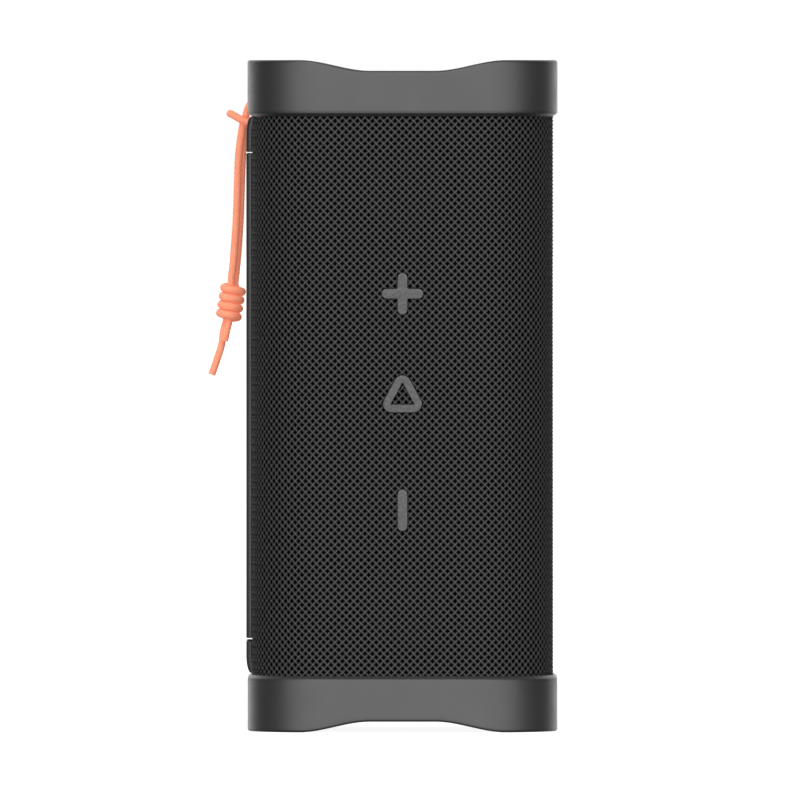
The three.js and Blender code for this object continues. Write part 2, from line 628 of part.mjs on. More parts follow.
// One strand from the knot up over the pin, round behind and under it, and out to the middle of
// the bight that holds both strands. side is 1 for the rear strand and -1 for the front one.
const strand = (side) => [
  [-48.05 + 0.38 * side, 1.08 * side, 127.2],
  [-47.5 + 0.38 * side, 1.08 * side, 132.5],
  [-47 + 0.38 * side, 1.08 * side, 139],
  [-46.55 + 0.38 * side, 1.08 * side, 146.5],
  [-46.3 + 0.38 * side, 1.08 * side, 154.5],
  [-45.98 + 0.38 * side, 1.08 * side, 162.5],
  [-45.65 + 0.3 * side, 1.1 * side, 168.3],
  [-45.05 + 0.15 * side, 1.12 * side, 172],
  [-44.35, 1.15 * side, 174.6],
  [-43.79, 1.2 * side, 176.4],
  [-43.06, 1.3 * side, 177.6],
  [-41.65, 1.5 * side, 178.12],
  [-40.2, 1.85 * side, 177.6],
  [-39.45, 2.3 * side, 176.2],
  [-39.8, 2.8 * side, 174.7],
  [-41.1, 3.2 * side, 173.75],
  [-43.2, 3.45 * side, 173.25],
  [-45.2, 3.42 * side, 173.2],
  [-46.7, 2.95 * side, 173.75],
  [-48.1, 2.15 * side, 174.35],
  [-48.9, 1.4 * side, 174.7],
  [-49.18, 0.8 * side, 174.8],
  [-49.2, 0.2 * side, 174.8],
];

part('lanyard_front_strand', cordTube(strand(-1), CORD.steps), cordOrange);
part('lanyard_rear_strand', cordTube(strand(1), CORD.steps), cordOrange);

// The barrel knot's outer shape: a turned stack of round wraps, tilted with the cord.
function knot() {
  const wrapLength = KNOT.length / KNOT.turns;
  const points = [[0, 0]];
  for (let turn = 0; turn < KNOT.turns; turn += 1) {
    for (const [share, inset] of [[0.06, 0.7], [0.28, 0.12], [0.72, 0.12]]) {
      points.push([KNOT.radius - inset, wrapLength * (turn + share)]);
    }
  }
  points.push([KNOT.radius - 0.7, KNOT.length - 0.1], [0, KNOT.length]);
  return turnedUp(points, 12);
}

const knotMesh = part('lanyard_knot', knot(), cordOrange);
knotMesh.position.set(KNOT.low[0], 0, KNOT.low[1]);
knotMesh.rotation.y = KNOT.tilt;

part('lanyard_long_tail', cordTube([
  [-49.75, 1.08, 116.2], [-50.55, 1, 113], [-51.35, 0.8, 109.3], [-52.6, 0.5, 105.2],
  [-54, 0.3, 100.7],
], CORD.tailSteps), cordOrange);
part('lanyard_short_tail', cordTube([
  [-49.15, -1.08, 116.2], [-49.8, -1.2, 113.4], [-50.3, -1.3, 110.3],
], CORD.tailSteps / 2), cordOrange);

export default object;
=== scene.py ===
import json
import math

import bmesh
import bpy
from mathutils import Matrix, Vector

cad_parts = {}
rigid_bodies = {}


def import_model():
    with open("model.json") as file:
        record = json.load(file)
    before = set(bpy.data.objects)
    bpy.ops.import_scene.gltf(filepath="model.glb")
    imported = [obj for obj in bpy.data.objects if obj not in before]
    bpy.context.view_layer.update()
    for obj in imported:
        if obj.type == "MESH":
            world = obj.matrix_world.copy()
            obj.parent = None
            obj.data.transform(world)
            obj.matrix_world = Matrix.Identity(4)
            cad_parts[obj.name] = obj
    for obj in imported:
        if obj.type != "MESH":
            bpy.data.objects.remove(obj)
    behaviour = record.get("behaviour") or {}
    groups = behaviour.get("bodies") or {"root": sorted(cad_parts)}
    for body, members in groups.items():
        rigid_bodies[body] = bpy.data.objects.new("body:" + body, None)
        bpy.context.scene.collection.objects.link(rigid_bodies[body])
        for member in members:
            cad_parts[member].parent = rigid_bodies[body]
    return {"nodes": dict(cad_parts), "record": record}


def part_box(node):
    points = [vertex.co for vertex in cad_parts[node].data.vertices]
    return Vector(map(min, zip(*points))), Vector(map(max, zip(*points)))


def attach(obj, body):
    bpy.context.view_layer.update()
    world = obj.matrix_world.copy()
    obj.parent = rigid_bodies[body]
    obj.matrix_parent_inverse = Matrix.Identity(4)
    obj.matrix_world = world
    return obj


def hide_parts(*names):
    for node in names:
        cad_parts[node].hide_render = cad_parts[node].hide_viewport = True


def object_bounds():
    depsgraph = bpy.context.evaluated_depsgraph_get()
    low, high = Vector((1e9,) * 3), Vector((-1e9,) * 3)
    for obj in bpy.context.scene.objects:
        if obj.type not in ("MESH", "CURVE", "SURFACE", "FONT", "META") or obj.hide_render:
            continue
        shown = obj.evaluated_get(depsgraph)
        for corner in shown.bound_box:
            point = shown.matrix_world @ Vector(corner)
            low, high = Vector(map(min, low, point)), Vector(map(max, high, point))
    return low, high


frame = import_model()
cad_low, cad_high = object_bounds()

# ------------------------ sizes, in millimetres
MM = 0.001


def heights(node):
    """The lowest and highest Z of a CAD node."""
    return [corner.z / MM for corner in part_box(node)]


def middle_z(node):
    return sum(heights(node)) / 2


HEIGHT = cad_high.z / MM
CAP_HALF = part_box("bottom_end_cap")[1].x / MM
CAP_RISE = heights("bottom_end_cap")[1]
CAP_CORNER = 22
LIP = (1.35, 0.95)  # how far the lip steps in, and its height
GROOVE = (2.6, 0.75)  # inset and depth of the channel that takes the fabric's edge
NOTCH_DEPTH = 3.05
NOTCH_FLAT = 9.3
NOTCH_REACH = 29.4
WALL = 4.5
RECESS_DEPTH = 11.5
SIDE_STEPS = 38
CORNER_STEPS = 16

FABRIC_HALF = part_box("grille_fabric")[1].x / MM + 0.03
FABRIC_CORNER = CAP_CORNER - (CAP_HALF - FABRIC_HALF)
STRAND_PITCH = 1.499
STRAND_WIDTH = 0.68

UP_Z = middle_z("volume_up_button")
ACTION_Z = middle_z("action_button")
DOWN_Z = middle_z("volume_down_button")
KEY_FACE = -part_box("volume_up_button")[0].y / MM
GLYPH_HALF_SPAN = 5.875
GLYPH_HALF_STROKE = 1.4
TRIANGLE = ((-3.1, -2.85), (3.1, -2.85), (0, 2.85))
TRIANGLE_OUTER = 2.4
TRIANGLE_INNER = 0.2

SPINE_OUTER = -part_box("spine_panel")[0].x / MM + 0.13
SPINE_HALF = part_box("spine_panel")[1].y / MM
SPINE_BACK = 40.0
SPINE_SKIN_BACK = 41.9
CORD_RADIUS = 1.04


def add_object(name, data):
    """A new object in the scene, around a mesh, a camera or a light."""
    obj = bpy.data.objects.new(name, data)
    bpy.context.scene.collection.objects.link(obj)
    return obj


# ------------------------ camera
def aim_camera():
    """Almost square on to the front, from far off, a little above the middle of the tower."""
    distance, aim_height, side, tilt = 9000, 93.5, -0.7, math.radians(0.64)
    eye_height = aim_height + distance * math.tan(tilt)
    frame_width = 227.1
    data = bpy.data.cameras.new("camera")
    data.sensor_width = 36
    data.lens = data.sensor_width * math.hypot(distance, eye_height - aim_height) / frame_width
    data.clip_end = 100
    camera = add_object("camera", data)
    camera.location = Vector((side, -distance, eye_height)) * MM
    aim = Vector((side, 0, aim_height)) * MM
    camera.rotation_euler = (aim - camera.location).to_track_quat("-Z", "Y").to_euler()
    bpy.context.scene.camera = camera


aim_camera()


# ------------------------ materials
def preset(node, **values):
    """Sets a node's sockets. Words of a socket's name are joined by underscores here."""
    for words, value in values.items():
        node.inputs[words.replace("_", " ")].default_value = value
    return node


def nodes_of(name, **values):
    """A new material, its tree and its shader, with the shader's sockets preset."""
    material = bpy.data.materials.new(name)
    material.use_nodes = True
    tree = material.node_tree
    return material, tree, preset(tree.nodes["Principled BSDF"], **values)


def noise(tree, scale, detail=2.0, stretch=None):
    """A noise texture over the object's own coordinates, in metres."""
    coords = tree.nodes.new("ShaderNodeTexCoord").outputs["Object"]
    texture = preset(tree.nodes.new("ShaderNodeTexNoise"), Scale=scale, Detail=detail)
    if stretch:
        mapping = preset(tree.nodes.new("ShaderNodeMapping"), Scale=stretch)
        tree.links.new(coords, mapping.inputs["Vector"])
        coords = mapping.outputs["Vector"]
    tree.links.new(coords, texture.inputs["Vector"])
    return texture.outputs["Fac"]


def ramp(tree, value, low, high, low_colour, high_colour):
    """A colour that runs from one to the other as the value goes from low to high."""
    node = tree.nodes.new("ShaderNodeValToRGB")
    stops = ((low, low_colour), (high, high_colour))
    for element, (place, colour) in zip(node.color_ramp.elements, stops):
        element.position, element.color = place, (*colour, 1)
    tree.links.new(value, node.inputs["Fac"])
    return node.outputs["Color"]


def spread(tree, value, low, high):
    """Spreads the middle of a noise's range from low to high."""
    node = preset(tree.nodes.new("ShaderNodeMapRange"), From_Min=0.3, From_Max=0.7, To_Min=low,
                  To_Max=high)
    tree.links.new(value, node.inputs["Value"])
    return node.outputs["Result"]


def bump(tree, shader, height, distance):
    node = preset(tree.nodes.new("ShaderNodeBump"), Distance=distance)
    tree.links.new(height, node.inputs["Height"])
    tree.links.new(node.outputs["Normal"], shader.inputs["Normal"])


def moulded(name, colour, roughness, grain=2600, depth=0.00002, shift=0.12, metallic=0.0,
            specular=0.5, blotch=60, stretch=None):
    """A moulded, painted or coated surface: fine grain, faint blotches and uneven gloss."""
    material, tree, shader = nodes_of(name, Metallic=metallic, Specular_IOR_Level=specular)
    dark = tuple(c * (1 - shift) for c in colour)
    light = tuple(c * (1 + shift) for c in colour)
    blotches = noise(tree, blotch, 3)
    tree.links.new(ramp(tree, blotches, 0.3, 0.7, dark, light), shader.inputs["Base Color"])
    fine = noise(tree, grain, 2, stretch)
    rough = spread(tree, noise(tree, blotch * 3, 2), roughness * 0.9, roughness * 1.1)
    tree.links.new(rough, shader.inputs["Roughness"])
    bump(tree, shader, fine, depth)
    return material


def lifted(tree, share, scale):
    """How far each point of a mesh stands out, with a share of noise mixed in."""
    lift = tree.nodes.new("ShaderNodeAttribute")
    lift.attribute_name = "lift"
    blend = preset(tree.nodes.new("ShaderNodeMix"), Factor=share)
    blend.data_type = "FLOAT"
    tree.links.new(lift.outputs["Fac"], blend.inputs["A"])
    tree.links.new(noise(tree, scale, 3), blend.inputs["B"])
    return blend.outputs["Result"]


def yarn(name):
    """Charcoal yarn with flecks of fibre, and painted shade: dark where the strands dip, lighter
    on their crowns.
    """
    material, tree, shader = nodes_of(name, Roughness=0.6, Specular_IOR_Level=0.2)
    # painted shade: the colour darkens with the lift, where the strands dip
    tree.links.new(ramp(tree, lifted(tree, 0.2, 900), 0.2, 0.9, (0.003, 0.003, 0.0031),
                        (0.0645, 0.0645, 0.0655)), shader.inputs["Base Color"])
    bump(tree, shader, noise(tree, 6000, 3), 0.00004)
    return material


def braid(name):
    """Braided coral cord, with painted shade: the crowns of the bundles are lighter than the
    grooves between. Light bleeds through the yarn, and the cord glows a little as painted light
    that lifts the side the tower shades."""
    # painted light: a faint emission in the cord's colour lifts its shaded side
    material, tree, shader = nodes_of(
        name, Roughness=0.7, Specular_IOR_Level=0.2, Subsurface_Weight=0.8,
        Subsurface_Radius=(1.0, 0.45, 0.3), Subsurface_Scale=0.0018,
        Emission_Color=(1.0, 0.29, 0.17, 1), Emission_Strength=0.35)
    # painted shade: the grooves of the braid darker than its crowns
    tree.links.new(ramp(tree, lifted(tree, 0.35, 1100), 0.1, 0.75, (0.45, 0.145, 0.09),
                        (0.66, 0.3, 0.185)), shader.inputs["Base Color"])
    bump(tree, shader, noise(tree, 5200, 3), 0.00004)
    return material


def rubber(name, colour, roughness, sparkle=0.2):
    """Silicone rubber with a faint fleck in it."""
    material, tree, shader = nodes_of(name, Specular_IOR_Level=0.4, Roughness=roughness)
    dark = tuple(c * (1 - sparkle) for c in colour)
    light = tuple(c * (1 + sparkle) for c in colour)
    tree.links.new(ramp(tree, noise(tree, 1500, 4), 0.35, 0.65, dark, light),
                   shader.inputs["Base Color"])
    bump(tree, shader, noise(tree, 3800, 3), 0.000025)
    return material


def circuit_board(name):
    material, tree, shader = nodes_of(name, Roughness=0.35)
    tree.links.new(ramp(tree, noise(tree, 420, 5), 0.45, 0.55, (0.006, 0.045, 0.02),
                        (0.012, 0.085, 0.04)), shader.inputs["Base Color"])
    bump(tree, shader, noise(tree, 900, 1), 0.00004)
    return material


def frosted_lens(name):
    material, tree, shader = nodes_of(name, Roughness=0.35)
    tree.links.new(ramp(tree, noise(tree, 500, 3), 0.3, 0.7, (0.42, 0.43, 0.43),
                        (0.55, 0.56, 0.56)), shader.inputs["Base Color"])
    bump(tree, shader, noise(tree, 3000, 2), 0.00001)
    return material


# painted shade: a near-black, matt finish that stands in for the shade inside the tower
SHADE_BLACK = moulded("painted_shade_black", (0.0025, 0.0025, 0.0025), 0.95, specular=0.0)
FINISHES = {
    "end_cap": moulded("cap_plastic", (0.0195, 0.0195, 0.0199), 0.3, depth=0.000008),
    "fabric": yarn("charcoal_yarn"),
    "glyph_rubber": rubber("key_rubber", (0.0505, 0.0505, 0.051), 0.6, 0.3),
    "spine": rubber("spine_rubber", (0.012, 0.0125, 0.0125), 0.34, 0.12),
    "black_plastic": moulded("black_plastic", (0.006, 0.006, 0.0065), 0.75, specular=0.06),
    "black_rubber": rubber("black_rubber", (0.014, 0.014, 0.0145), 0.5, 0.12),
    "cord": braid("coral_braid"),
    "steel": moulded("plain_steel", (0.52, 0.52, 0.53), 0.32, metallic=1.0, shift=0.06,
                     stretch=(1, 12, 1)),
    "dark_steel": moulded("coated_steel", (0.05, 0.05, 0.052), 0.38, metallic=0.6),
    "board": circuit_board("circuit_board"),
    # painted shade: the cone is darker than its own paper, as the shade behind the cloth
    "cone_paper": moulded("cone_paper", (0.004, 0.004, 0.0042), 0.9, grain=1500,
                          depth=0.00006, specular=0.02),
    "cell_wrap": moulded("cell_wrap", (0.02, 0.09, 0.25), 0.3, depth=0.00001),
    "light_lens": frosted_lens("light_lens"),
}
for row in frame["record"]["subparts"]:
    node = frame["nodes"][row["node"]]
    node.data.materials.clear()
    node.data.materials.append(FINISHES[row["material_slot"]])
# painted shade: these parts behind the cloth take the near-black finish in place of their own
for name in ("grille_frame", "upper_driver_basket", "upper_driver_surround",
             "lower_driver_basket", "lower_driver_surround", "button_keypad"):
    frame["nodes"][name].data.materials[0] = SHADE_BLACK  # matt, so that none shows through the cloth


# ------------------------ mesh helpers
def piece(name, mesh, body, slot, *replaced):
    """Links a mesh as one piece, on its body, with its slot's finish."""
    obj = add_object(name, mesh)
    mesh.materials.clear()
    mesh.materials.append(FINISHES[slot])
    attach(obj, body)
    if replaced:
        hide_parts(*replaced)
    return obj


def build_mesh(name, points, faces, sharp_above=None):
    """points are in millimetres. Edges sharper than sharp_above degrees stay sharp."""
    mesh = bpy.data.meshes.new(name)
    mesh.from_pydata([(x * MM, y * MM, z * MM) for x, y, z in points], [], faces)
    mesh.validate()
    finish_shading(mesh, sharp_above)
    return mesh


def finish_shading(mesh, sharp_above):
    mesh.shade_smooth()
    if sharp_above:
        mesh.set_sharp_from_angle(angle=math.radians(sharp_above))


def loft(rings, closed):
    """Points and faces of a skin over rings of equal length. closed joins the last ring to the
    first, and otherwise both ends are capped."""
    count = len(rings[0])
    points = [p for ring in rings for p in ring]
    faces = []
    spans = len(rings) if closed else len(rings) - 1
    for i in range(spans):
        a, b = i * count, ((i + 1) % len(rings)) * count
        for j in range(count):
            k = (j + 1) % count
            faces.append((a + j, a + k, b + k, b + j))
    if not closed:
        faces.append(tuple(reversed(range(count))))
        faces.append(tuple(range((len(rings) - 1) * count, len(rings) * count)))
    return points, faces


def outward(mesh, weld=0.0):
    """Turns every face of a closed mesh outwards, with points nearer than weld joined first."""
    work = bmesh.new()
    work.from_mesh(mesh)
    if weld:
        bmesh.ops.remove_doubles(work, verts=work.verts, dist=weld)
    bmesh.ops.recalc_face_normals(work, faces=work.faces)
    work.to_mesh(mesh)
    work.free()


def cut_away(mesh, cutters, sharp_above):
    """Cuts closed cutter meshes out of a mesh, with one boolean for each cutter, applied together.
    """
    target = add_object("target", mesh)
    for i, cutter_mesh in enumerate(cutters):
        outward(cutter_mesh)
        cutter = add_object(f"cutter_{i}", cutter_mesh)
        modifier = target.modifiers.new(f"cut_{i}", "BOOLEAN")
        modifier.operation = "DIFFERENCE"
        modifier.solver = "EXACT"
        modifier.object = cutter
    bpy.context.view_layer.update()
    graph = bpy.context.evaluated_depsgraph_get()
    result = bpy.data.meshes.new_from_object(target.evaluated_get(graph))
    for obj in [o for o in bpy.data.objects if o.name.startswith(("target", "cutter_"))]:
        bpy.data.objects.remove(obj)
    finish_shading(result, sharp_above)
    return result


def turned(profile, steps, axis, centre):
    """Points and faces turned around the z or x axis from (radius, height) pairs. A profile that
    starts and ends at radius 0 is capped there, and any other closes on itself."""

    def placed(u, v, h):
        return tuple(c + o for c, o in zip((u, v, h) if axis == "z" else (h, u, v), centre))

    on_axis = profile[0][0] == 0
    rims = [(r, h) for r, h in profile if r > 0]
    rings = []
    for r, h in rims:
        ring = []
        for k in range(steps):
            a = 2 * math.pi * k / steps
            ring.append(placed(r * math.cos(a), r * math.sin(a), h))
        rings.append(ring)
    points, faces = loft(rings, closed=not on_axis)
    if on_axis:
        faces = faces[:-2]
        for h, ring_index in ((profile[0][1], 0), (profile[-1][1], len(rims) - 1)):
            points.append(placed(0, 0, h))
            base = ring_index * steps
            for j in range(steps):
                faces.append((base + j, base + (j + 1) % steps, len(points) - 1))
    return points, faces


def turned_mesh(name, profile, steps, axis="z", centre=(0, 0, 0), sharp_above=None):
    mesh = build_mesh(name, *turned(profile, steps, axis, centre))
    outward(mesh)
    finish_shading(mesh, sharp_above)
    return mesh


def arc(cx, cy, radius, start, end, steps):
    """(x, y) points along an arc, in degrees."""
    return [(cx + radius * math.cos(math.radians(start + (end - start) * i / steps)),
             cy + radius * math.sin(math.radians(start + (end - start) * i / steps)))
            for i in range(steps + 1)]


def rounded_loop(left, right, low, high, radius):
    """A rectangle's outline with round corners."""
    steps = 6
    return (arc(right - radius, high - radius, radius, 0, 90, steps)
            + arc(left + radius, high - radius, radius, 90, 180, steps)
            + arc(left + radius, low + radius, radius, 180, 270, steps)
            + arc(right - radius, low + radius, radius, 270, 360, steps))


FRONT = Matrix(((1, 0, 0), (0, 0, -1), (0, 1, 0)))  # drawn x, y, out -> world x, z, -y
SIDE = Matrix(((0, 0, -1), (-1, 0, 0), (0, 1, 0)))  # drawn x, y, out -> world -y, z, -x


def plate(name, loops, turn, centre, face, back, bevel, sharp_above=40, bevel_steps=3):
    """A flat plate from closed outlines, with rounded edges. Outlines are (x, y) in millimetres
    about the centre, and face and back are distances out from the tower's axis."""
    curve = bpy.data.curves.new(name, "CURVE")
    curve.dimensions = "2D"
    curve.fill_mode = "BOTH"
    curve.extrude = (face - back) / 2 - bevel
    curve.bevel_depth = bevel
    curve.bevel_resolution = bevel_steps
    curve.offset = -bevel
    for loop in loops:
        spline = curve.splines.new("POLY")
        spline.points.add(len(loop) - 1)
        for point, (x, y) in zip(spline.points, loop):
            point.co = (x, y, 0, 1)
        spline.use_cyclic_u = True
    holder = bpy.data.objects.new(name, curve)
    mesh = bpy.data.meshes.new_from_object(holder)
    bpy.data.objects.remove(holder)
    shift = turn @ Vector((0, 0, (face + back) / 2)) + Vector(centre)
    mesh.transform(turn.to_4x4())
    mesh.transform(Matrix.Translation(shift))
    mesh.transform(Matrix.Scale(MM, 4))
    outward(mesh, weld=1e-7)
    finish_shading(mesh, sharp_above)
    return mesh


# ------------------------ lanyard
def smooth_route(controls, spacing):
    """Evenly spaced points along a centripetal Catmull-Rom curve through the controls."""
    pts = [Vector(p) for p in controls]
    pts = [2 * pts[0] - pts[1], *pts, 2 * pts[-1] - pts[-2]]
    dense = []
    for i in range(1, len(pts) - 2):
        p = pts[i - 1:i + 3]
        t = [0.0]
        for a, b in zip(p, p[1:]):
            t.append(t[-1] + math.sqrt((b - a).length))
        steps = 24
        for k in range(steps):
            u = t[1] + (t[2] - t[1]) * k / steps
            a = [p[j] * ((t[j + 1] - u) / (t[j + 1] - t[j]))
                 + p[j + 1] * ((u - t[j]) / (t[j + 1] - t[j])) for j in range(3)]
            b = [a[j] * ((t[j + 2] - u) / (t[j + 2] - t[j]))
                 + a[j + 1] * ((u - t[j]) / (t[j + 2] - t[j])) for j in range(2)]
            dense.append(b[0] * ((t[2] - u) / (t[2] - t[1])) + b[1] * ((u - t[1]) / (t[2] - t[1])))
    dense.append(pts[-2])
    return even_route(dense, spacing)


def even_route(dense, spacing):
    reach = [0.0]
    for a, b in zip(dense, dense[1:]):
        reach.append(reach[-1] + (b - a).length)
    count = max(2, round(reach[-1] / spacing))
    route, j = [], 0
    for i in range(count + 1):
        target = reach[-1] * i / count
        while j < len(dense) - 2 and reach[j + 1] < target:
            j += 1
        span = reach[j + 1] - reach[j]
        route.append(dense[j].lerp(dense[j + 1], (target - reach[j]) / span if span else 0))
    return route


def route_length(route):
    return sum((b - a).length for a, b in zip(route, route[1:]))


def braided_tube(name, route, radius_at, bundles=8, relief=0.065, lay=1.3):
    """A round cord along a route in millimetres, its surface raised in the staggered bundles of
    a braid. radius_at gives the radius at a share of the route. The lift of each point is kept
    for the cord's colour, where it paints shade in the grooves between bundles."""
    sides = bundles * 4
    tangents = [(route[min(i + 1, len(route) - 1)] - route[max(i - 1, 0)]).normalized()
                for i in range(len(route))]
    side = tangents[0].orthogonal().normalized()
    rings, lifts, travelled = [], [], 0.0
    for i, (centre, tangent) in enumerate(zip(route, tangents)):
        if i:
            travelled += (centre - route[i - 1]).length
        side = (side - tangent * side.dot(tangent)).normalized()
        up = tangent.cross(side)
        radius = radius_at(i / (len(route) - 1))
        ring = []
        for k in range(sides):
            a = 2 * math.pi * k / sides
            phase = math.pi * travelled / lay
            lift = abs(math.cos(bundles / 2 * a + phase) * math.cos(bundles / 2 * a - phase))
            r = radius * (1 + relief * (lift - 0.6))
            ring.append(tuple(centre + side * (r * math.cos(a)) + up * (r * math.sin(a))))
            lifts.append(lift)
        rings.append(ring)
    mesh = build_mesh(name, *loft(rings, closed=False), sharp_above=60)
    mesh.attributes.new("lift", "FLOAT", "POINT").data.foreach_set("value", lifts)
    return mesh


KNOT_TOP = Vector((-47.78, 0, 126.3))
KNOT_BOTTOM = Vector((-49.36, 0, 116.7))
WRAPS_MIDDLE = Vector((-48.7, 0, 121.25))


def strand_controls(side):
    """The strand's centre from its tail, through the knot, up over the pin, round behind and
    under it, and out to the middle of the bight. side is 1 at the rear and -1 at the front."""
    tails = {
        1: [(-54.15, 0.3, 100.7), (-52.6, 0.5, 105.2), (-51.33, 0.8, 109.3),
            (-50.8, 1.0, 113.0), (-49.9, 1.0, 116.2)],
        -1: [(-50.55, -1.3, 110.3), (-49.85, -1.2, 113.4), (-49.2, -1.0, 116.2)],
    }[side]
    core = [tuple(KNOT_BOTTOM.lerp(KNOT_TOP, f) + Vector((0.15 * side, 0.6 * side, 0)))
            for f in (0.25, 0.5, 0.75)]
    hanging = [(-48.05, 0.9, 127.4), (-47.5, 0.95, 132.5), (-47, 0.95, 139),
               (-46.55, 0.95, 146.5), (-46.3, 0.95, 154.5), (-45.98, 0.95, 162.5)]
    strand = [(x + 0.55 * side, y * side, z) for x, y, z in hanging]
    strand += [(-45.5 + 0.37 * side, 1.05 * side, 168.3), (-45.0 + 0.2 * side, 1.12 * side, 172)]
    hitch = [(-44.35, 1.15, 174.6), (-43.79, 1.2, 176.4), (-43.06, 1.3, 177.6),
             (-41.65, 1.5, 178.12), (-40.2, 1.85, 177.6), (-39.45, 2.3, 176.2),
             (-39.9, 2.8, 174.3), (-41.2, 3.1, 172.8), (-43.2, 3.4, 172.35),
             (-45.2, 3.35, 172.8), (-46.6, 2.9, 173.55), (-47.9, 2.1, 174.3),
             (-48.65, 1.3, 174.7), (-48.95, 0.02, 174.8)]
    return [*tails, *core, *strand, *((x, y * side, z) for x, y, z in hitch)]


def knot_wraps():
    """Four turns of cord around the two strands. From the left they cross the front and go
    down to the right, and both ends tuck in behind."""
    axis = KNOT_TOP - KNOT_BOTTOM
    up = axis.normalized()
    left, front = Vector((-1, 0, 0)), Vector((0, -1, 0))
    visible_turns, steps = 3.5, 320
    wrap_radius, tucked, tuck_turn = 2.64, 1.0, 0.3
    pitch = 2.42
    dense = []
    for i in range(steps + 1):
        turn = -tuck_turn - 0.05 + (visible_turns + 2 * tuck_turn + 0.1) * i / steps
        past = max(0.0, -0.05 - turn, turn - visible_turns - 0.05) / tuck_turn
        radius = tucked + (wrap_radius - tucked) * math.cos(min(1.0, past) * math.pi / 2)
        angle = 2 * math.pi * turn
        drop = (visible_turns / 2 - min(visible_turns + 0.1, max(-0.1, turn))) * pitch
        dense.append(WRAPS_MIDDLE + up * drop
                     + left * (radius * math.cos(angle)) + front * (radius * math.sin(angle)))
    return even_route(dense, 0.2)


def make_lanyard():
    knot = piece("lanyard_knot_wraps",
                 braided_tube("lanyard_knot_wraps", knot_wraps(), lambda f: CORD_RADIUS * 1.1),
                 "lanyard", "cord", "lanyard_knot")
    replaced = {
        -1: ("front", ("lanyard_front_strand", "lanyard_short_tail")),
        1: ("rear", ("lanyard_rear_strand", "lanyard_long_tail")),
    }
    for side, (word, cad_nodes) in replaced.items():
        route = smooth_route(strand_controls(side), 0.2)
        length = route_length(route)
        knot_at = min(range(len(route)),
                      key=lambda i: (route[i] - (KNOT_TOP + KNOT_BOTTOM) / 2).length)
        middle = knot_at / (len(route) - 1)

        def radius_at(f, middle=middle, length=length):
            squeeze = max(0.0, 1 - (abs(f - middle) * length / 4.6) ** 4)
            return CORD_RADIUS * (1 - 0.35 * squeeze)

        name = f"lanyard_{word}_cord"
        strand = piece(name, braided_tube(name, route, radius_at), "lanyard", "cord",
                       *cad_nodes)


make_lanyard()


# ------------------------ end caps
def outline_point(half, corner, quarter, on_side, f):
    """A point of a rounded square, anticlockwise, where quarter 0 is the front side and the
    corner after it."""
    flat = half - corner
    if on_side:
        x, y = -flat + 2 * flat * f, -half
    else:
        a = -math.pi / 2 + f * math.pi / 2
        x, y = flat + corner * math.cos(a), -flat + corner * math.sin(a)
    for _ in range(quarter):
        x, y = -y, x
    return x, y


STATIONS = [
    (quarter, on_side, i / steps)
    for quarter in range(4)
    for on_side, steps in ((True, SIDE_STEPS), (False, CORNER_STEPS))
    for i in range(steps)
]


def notch(x):
    t = min(1.0, max(0.0, (NOTCH_REACH - abs(x)) / (NOTCH_REACH - NOTCH_FLAT)))
    return NOTCH_DEPTH * t * t * (3 - 2 * t)


def cap_ring(inset, height, follow):
    """A ring of the cap, inset from its outside. follow is how much of the notch it takes."""
    half, corner = CAP_HALF - inset, CAP_CORNER - inset
    ring = []
    for station in STATIONS:
        x, y = outline_point(half, corner, *station)
        ring.append((x, y, height + notch(x) * follow))
    return ring


def bezel_ring(radius, height):
    ring = []
    for station in STATIONS:
        x, y = outline_point(CAP_HALF, CAP_CORNER, *station)
        scale = radius / math.hypot(x, y)
        ring.append((x * scale, y * scale, height))
    return ring


def cap_rings():
    """The cap's section, from the lip, up the outside, over the rim, down into the recess, in
    to the radiator's opening and back underneath."""
    lip_in, lip_high = LIP
    groove_in, groove_deep = GROOVE
    rim, inner_rim, fillet = 0.8, 0.7, 1.0
    outer_opening, opening, counterbore = 31.2, 29.5, 31.9
    bezel_back = RECESS_DEPTH + 1.9
    shelf = CAP_RISE - 0.25
    rings = [cap_ring(lip_in + 0.05, CAP_RISE - groove_deep, 0),
             cap_ring(lip_in + 0.05, CAP_RISE - 0.1, 0),
             cap_ring(lip_in - 0.05, CAP_RISE, 0)]
    top_of_chamfer = CAP_RISE - lip_high
    rings += [cap_ring(0.12, top_of_chamfer + 0.06, 0), cap_ring(0.02, top_of_chamfer - 0.1, 0)]
    for height, follow in ((14, 0), (12, 0), (9.5, 0), (7, 0.2), (5, 0.5), (3.2, 0.8),
                           (1.8, 1)):
        rings.append(cap_ring(0, height, follow))
    for x, y in arc(rim, rim, rim, 180, 270, 6):
        rings.append(cap_ring(x, y, 1))
    for x, y in arc(WALL - inner_rim, inner_rim, inner_rim, 270, 360, 5):
        rings.append(cap_ring(x, y, 1))
    for height, follow in ((2.4, 0.95), (4.5, 0.6), (7, 0.25), (9, 0)):
        rings.append(cap_ring(WALL, height, follow))
    for x, y in arc(WALL + fillet, RECESS_DEPTH - fillet, fillet, 180, 90, 4):
        rings.append(cap_ring(x, y, 0))
    rings += [bezel_ring(outer_opening, RECESS_DEPTH), bezel_ring(opening + 0.3, 12.1),
              bezel_ring(opening, 12.4), bezel_ring(opening, bezel_back),
              bezel_ring(counterbore, bezel_back), bezel_ring(counterbore, shelf),
              cap_ring(groove_in + 0.8, shelf, 0), cap_ring(groove_in, CAP_RISE, 0),
              cap_ring(groove_in, CAP_RISE - groove_deep, 0)]
    return rings


def screw_centres(side):
    for i in range(1, 5):
        low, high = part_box(f"{side}_cap_screw_{i}")
        yield i, ((low.x + high.x) / 2 / MM, (low.y + high.y) / 2 / MM)


def end_height(side, depth):
    """A height that is depth in from one end."""
    return HEIGHT - depth if side == "top" else depth


